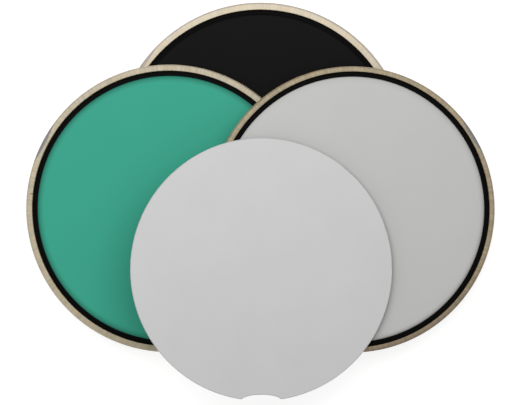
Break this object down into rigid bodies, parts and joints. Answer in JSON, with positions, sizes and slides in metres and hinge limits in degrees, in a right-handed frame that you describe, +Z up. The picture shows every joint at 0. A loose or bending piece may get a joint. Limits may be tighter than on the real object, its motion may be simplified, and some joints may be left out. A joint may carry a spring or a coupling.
{
  "type": "practice pad",
  "caption": "Practice pad set: fanned round pads with rubber playing discs in wooden hoops, and a loose overlay disc with a finger notch.",
  "frame": {"origin": "centre of the black pad's underside, on the surface that it stands on", "axes": "+Z up, through the black pad's axis; +X towards the gray pad; the overlay's finger notch is on the -Y side"},
  "size_m": [0.5395, 0.4558, 0.0945],
  "materials": {
    "mat_rubber": "matte",
    "birch_plywood": "matte",
    "grey_foam": "matte",
    "black_rubber": "satin",
    "black_gum_rubber": "matte",
    "green_gum_rubber": "matte",
    "gray_gum_rubber": "matte",
    "lacquered_maple": "satin",
    "screw_steel": "satin",
    "underlay_foam": "matte",
    "white_laminate": "satin"
  },
  "bodies": {
    "black_pad": {"black_base_mat": "mat_rubber", "black_base_board": "birch_plywood", "black_damping_foam": "grey_foam", "black_rubber_backing": "black_rubber", "black_playing_disc": "black_gum_rubber", "black_hoop": "lacquered_maple", "black_hoop_screws": "screw_steel"},
    "green_pad": {"green_base_mat": "mat_rubber", "green_base_board": "birch_plywood", "green_damping_foam": "grey_foam", "green_rubber_backing": "black_rubber", "green_playing_disc": "green_gum_rubber", "green_hoop": "lacquered_maple", "green_hoop_screws": "screw_steel"},
    "gray_pad": {"gray_base_mat": "mat_rubber", "gray_base_board": "birch_plywood", "gray_damping_foam": "grey_foam", "gray_rubber_backing": "black_rubber", "gray_playing_disc": "gray_gum_rubber", "gray_hoop": "lacquered_maple", "gray_hoop_screws": "screw_steel"},
    "white_overlay": {"white_underlay": "underlay_foam", "white_playing_sheet": "white_laminate"}
  },
  "joints": [
    {"name": "green_lift", "type": "slide", "parent": "black_pad", "child": "green_pad", "axis": [0, 0, 1], "range_m": [0, 0.08]},
    {"name": "gray_lift", "type": "slide", "parent": "green_pad", "child": "gray_pad", "axis": [0.1764, -0.0133, 0.9842], "range_m": [0, 0.1]},
    {"name": "white_lift", "type": "slide", "parent": "gray_pad", "child": "white_overlay", "axis": [0.1764, -0.0133, 0.9842], "range_m": [0, 0.06]}
  ]
}
